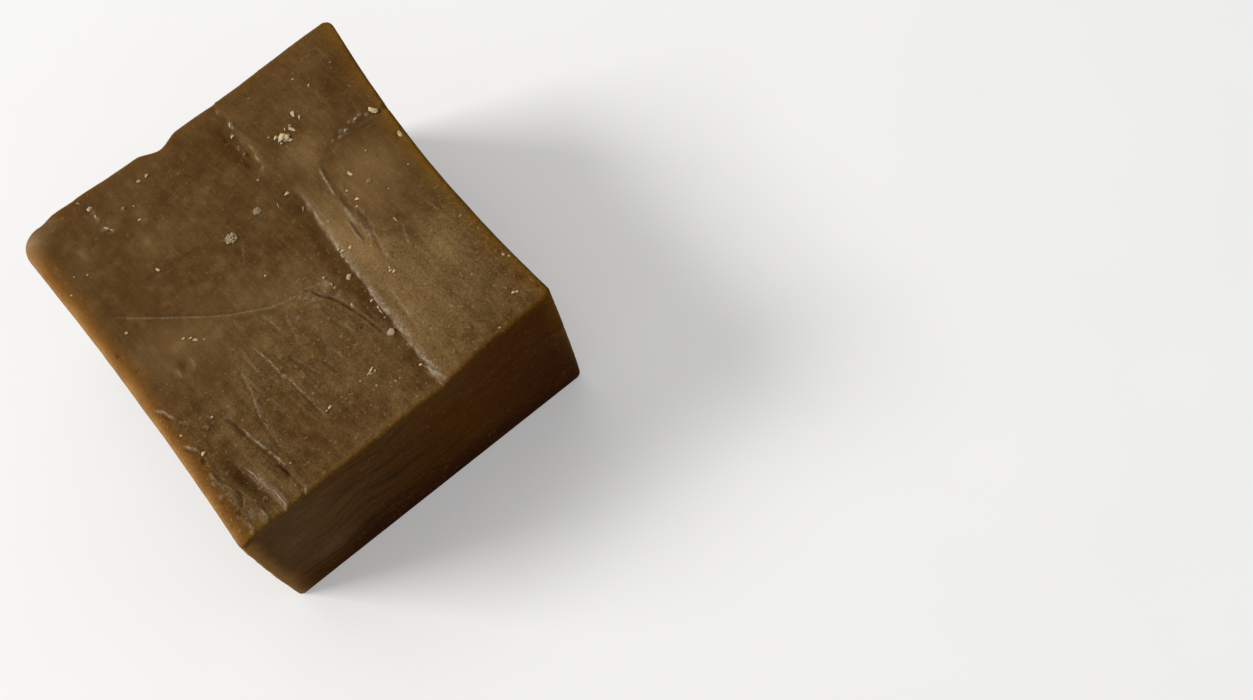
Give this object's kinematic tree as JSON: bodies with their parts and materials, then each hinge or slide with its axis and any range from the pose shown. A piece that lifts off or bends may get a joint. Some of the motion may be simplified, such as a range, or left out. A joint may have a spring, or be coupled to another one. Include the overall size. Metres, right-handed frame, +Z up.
{
  "type": "bar of soap",
  "caption": "Squarish hand-cut block of soap with a raised slab on its top, a torn ridge, folds and a rounded corner.",
  "frame": {"origin": "under the middle of the bar, on the surface that it lies on", "axes": "+X along the front face from its left end to its right, +Y from the front face to the far one, +Z up"},
  "size_m": [0.0707, 0.073, 0.0465],
  "materials": {
    "soap": "hand-cut, waxy, air-dried"
  },
  "bodies": {
    "root": {"soap_bar": "soap"}
  },
  "joints": []
}
